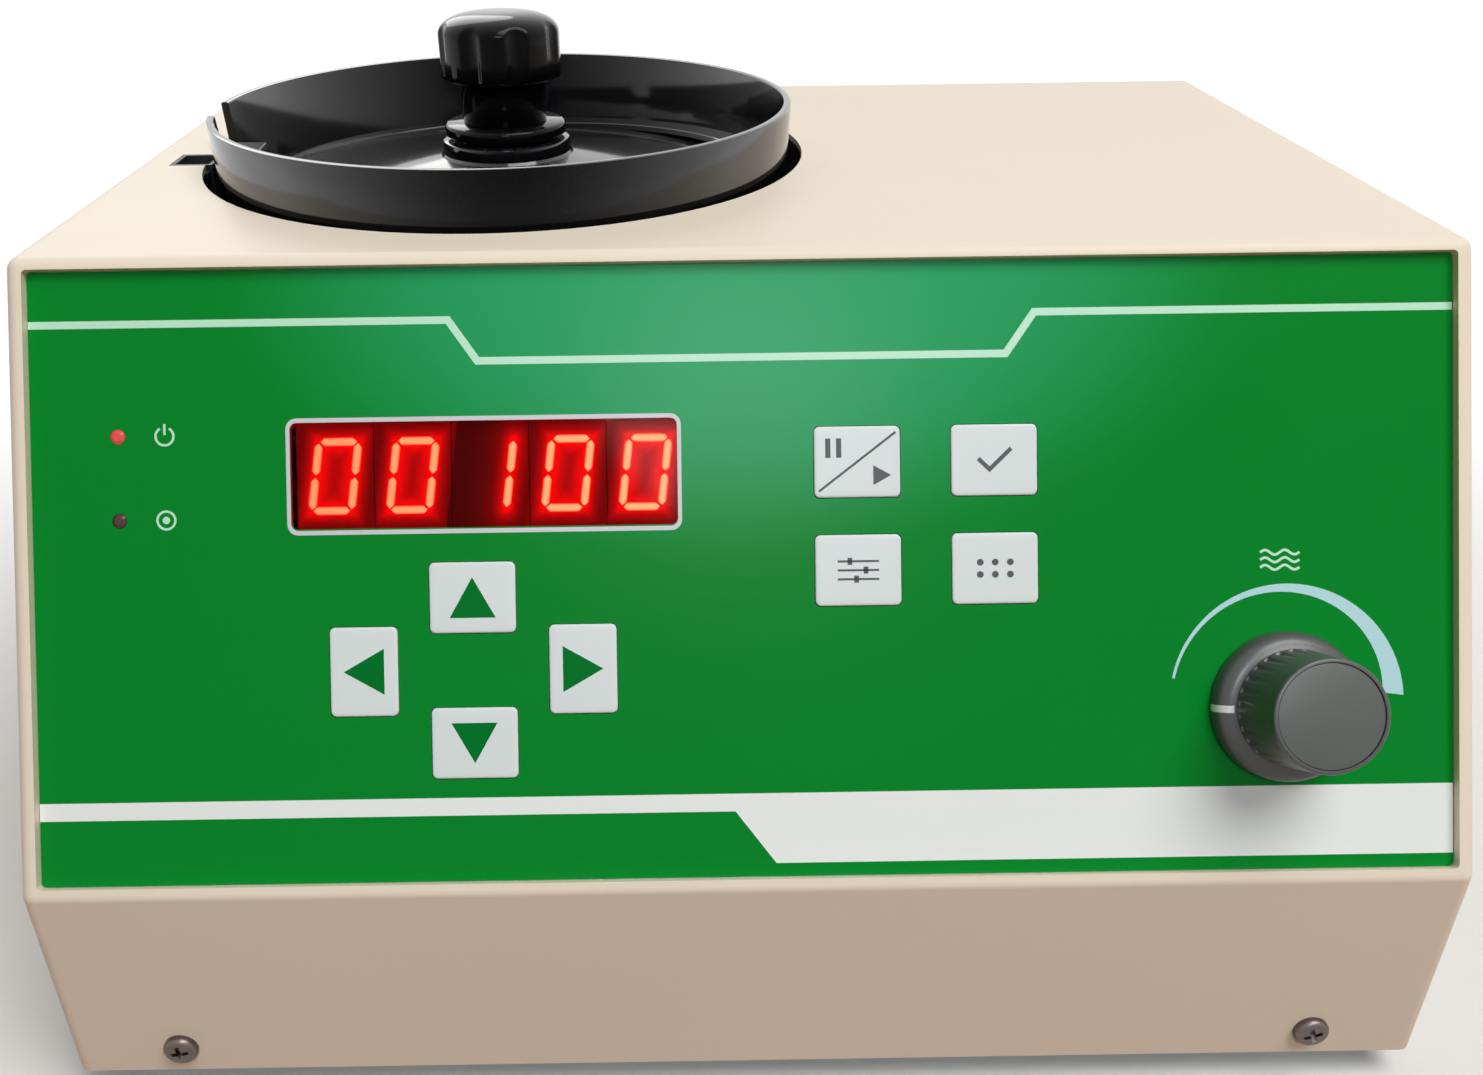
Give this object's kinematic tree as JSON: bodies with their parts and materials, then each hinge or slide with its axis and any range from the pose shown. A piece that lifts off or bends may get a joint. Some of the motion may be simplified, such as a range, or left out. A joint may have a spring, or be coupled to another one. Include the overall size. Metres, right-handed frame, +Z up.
{
  "type": "vibratory seed counter",
  "caption": "Bench seed counter: sheet case with a sloping green control panel, a vibrating bowl with hand knob on its deck, a display, keys and a speed knob.",
  "frame": {"origin": "on the bench under the middle of the outside box, at the feet's soles", "axes": "+Z up; the control panel faces -Y; +X to the operator's right when facing the panel"},
  "size_m": [0.3146, 0.2557, 0.2142],
  "materials": {
    "core_iron": "laminated iron",
    "tray_steel": "zinc-plated sheet",
    "component_mix": "dark board components",
    "bowl_black": "gloss black anodised turned aluminium",
    "carrier_alloy": "cast aluminium",
    "screw_steel": "nickel-plated screws",
    "shaft_steel": "turned steel",
    "washer_black": "black moulded washer",
    "board_green": "green circuit board",
    "display_dark": "dark red display modules",
    "display_lit": "lit orange segments",
    "window_clear": "dark red clear acrylic",
    "cast_grey": "grey painted cast iron",
    "funnel_black": "black moulded plastic",
    "foot_rubber": "black rubber",
    "overlay_film": "green printed film with white lines and a soft sheen",
    "plate_aluminium": "plain aluminium",
    "hand_knob_black": "black gloss phenolic",
    "case_paint": "cream baked enamel, semi-gloss, slightly textured",
    "key_film": "white key faces with green or dark symbols",
    "switch_black": "black push switches",
    "knob_disc": "satin grey disc",
    "insert_brass": "turned brass",
    "leaf_epoxy": "glass-fibre leaf springs",
    "lens_dark": "dark infrared lens",
    "bolt_steel": "plated bolts",
    "clamp_steel": "steel clamp plates",
    "coil_copper": "varnished copper winding",
    "inlet_black": "black moulded inlet",
    "pot_metal": "plated steel shell",
    "nut_metal": "nickel-plated nut",
    "lamp_red": "red indicator lamp",
    "rear_paint": "cream baked enamel",
    "drawer_paint": "cream enamel front on a sheet tub",
    "knob_grey": "dark grey moulded knob",
    "standoff_brass": "brass pillars",
    "rocker_black": "black rocker",
    "transformer_iron": "varnished laminations and winding",
    "lamp_dark": "dark, unlit indicator lamp"
  },
  "bodies": {
    "case": {"base_tray": "tray_steel", "board_components": "component_mix", "case_screws": "screw_steel", "display_board": "board_green", "display_modules": "display_dark", "display_segments": "display_lit", "display_window": "window_clear", "drawer_runners": "tray_steel", "drive_base": "cast_grey", "drop_funnel": "funnel_black", "feet": "foot_rubber", "front_overlay": "overlay_film", "front_plate": "plate_aluminium", "hood": "case_paint", "key_board": "board_green", "key_switches": "switch_black", "leaf_springs": "leaf_epoxy", "light_emitter": "lens_dark", "light_receiver": "lens_dark", "lower_clamp_bolts": "bolt_steel", "lower_clamps": "clamp_steel", "magnet_coil": "coil_copper", "magnet_core": "core_iron", "main_board": "board_green", "mains_inlet": "inlet_black", "outlet_chute": "funnel_black", "pot_body": "pot_metal", "pot_nut": "nut_metal", "power_lamp": "lamp_red", "rear_panel": "rear_paint", "rubber_mounts": "foot_rubber", "sensor_housing": "funnel_black", "standoffs": "standoff_brass", "switch_frame": "inlet_black", "transformer": "transformer_iron", "work_lamp": "lamp_dark"},
    "speed_control": {"speed_knob": "knob_grey", "knob_cap": "knob_disc", "pot_shaft": "shaft_steel"},
    "bowl_unit": {"bowl": "bowl_black", "bowl_carrier": "carrier_alloy", "centre_stud": "shaft_steel", "armature": "core_iron", "upper_clamps": "clamp_steel", "upper_clamp_bolts": "bolt_steel"},
    "washer_unit": {"clamp_washer": "washer_black"},
    "hand_knob_unit": {"hand_knob": "hand_knob_black", "knob_insert": "insert_brass"},
    "rocker_unit": {"switch_rocker": "rocker_black"},
    "drawer_unit": {"seed_drawer": "drawer_paint"},
    "key_up_unit": {"key_up": "key_film"},
    "key_down_unit": {"key_down": "key_film"},
    "key_left_unit": {"key_left": "key_film"},
    "key_right_unit": {"key_right": "key_film"},
    "key_pause_unit": {"key_pause": "key_film"},
    "key_confirm_unit": {"key_confirm": "key_film"},
    "key_set_unit": {"key_set": "key_film"},
    "key_count_unit": {"key_count": "key_film"}
  },
  "joints": [
    {"name": "speed_knob_turn", "type": "hinge", "parent": "case", "child": "speed_control", "pos_m": [0.1148, -0.10531, 0.09382], "axis": [0, 0.8687, -0.4953], "range_deg": [-60, 240]},
    {"name": "key_up_press", "type": "slide", "parent": "case", "child": "key_up_unit", "axis": [0, 0.8687, -0.4953], "range_m": [0, 0.0004], "stiffness_N_per_m": 800},
    {"name": "key_down_press", "type": "slide", "parent": "case", "child": "key_down_unit", "axis": [0, 0.8687, -0.4953], "range_m": [0, 0.0004], "stiffness_N_per_m": 800},
    {"name": "key_left_press", "type": "slide", "parent": "case", "child": "key_left_unit", "axis": [0, 0.8687, -0.4953], "range_m": [0, 0.0004], "stiffness_N_per_m": 800},
    {"name": "key_right_press", "type": "slide", "parent": "case", "child": "key_right_unit", "axis": [0, 0.8687, -0.4953], "range_m": [0, 0.0004], "stiffness_N_per_m": 800},
    {"name": "key_pause_press", "type": "slide", "parent": "case", "child": "key_pause_unit", "axis": [0, 0.8687, -0.4953], "range_m": [0, 0.0004], "stiffness_N_per_m": 800},
    {"name": "key_confirm_press", "type": "slide", "parent": "case", "child": "key_confirm_unit", "axis": [0, 0.8687, -0.4953], "range_m": [0, 0.0004], "stiffness_N_per_m": 800},
    {"name": "key_set_press", "type": "slide", "parent": "case", "child": "key_set_unit", "axis": [0, 0.8687, -0.4953], "range_m": [0, 0.0004], "stiffness_N_per_m": 800},
    {"name": "key_count_press", "type": "slide", "parent": "case", "child": "key_count_unit", "axis": [0, 0.8687, -0.4953], "range_m": [0, 0.0004], "stiffness_N_per_m": 800},
    {"name": "bowl_twist", "type": "hinge", "parent": "case", "child": "bowl_unit", "pos_m": [-0.0583, 0.03627, 0.179], "axis": [0, 0, 1], "range_deg": [-1, 1], "stiffness_Nm_per_rad": 8, "deforming": ["leaf_springs"]},
    {"name": "washer_lift", "type": "slide", "parent": "bowl_unit", "child": "washer_unit", "axis": [0, 0, 1], "range_m": [0, 0.005]},
    {"name": "hand_knob_turn", "type": "hinge", "parent": "washer_unit", "child": "hand_knob_unit", "pos_m": [-0.0583, 0.03627, 0.179], "axis": [0, 0, 1], "range_deg": [0, 1441]},
    {"name": "power_switch_rock", "type": "hinge", "parent": "case", "child": "rocker_unit", "pos_m": [0.04, 0.12207, 0.044], "axis": [-1, 0, 0], "range_deg": [0, 20]},
    {"name": "drawer_slide", "type": "slide", "parent": "case", "child": "drawer_unit", "axis": [-1, 0, 0], "range_m": [0, 0.032]}
  ],
  "couplings": [
    {"joint": "hand_knob_turn", "follows": "washer_lift", "rad_per_m": 5026.5}
  ]
}
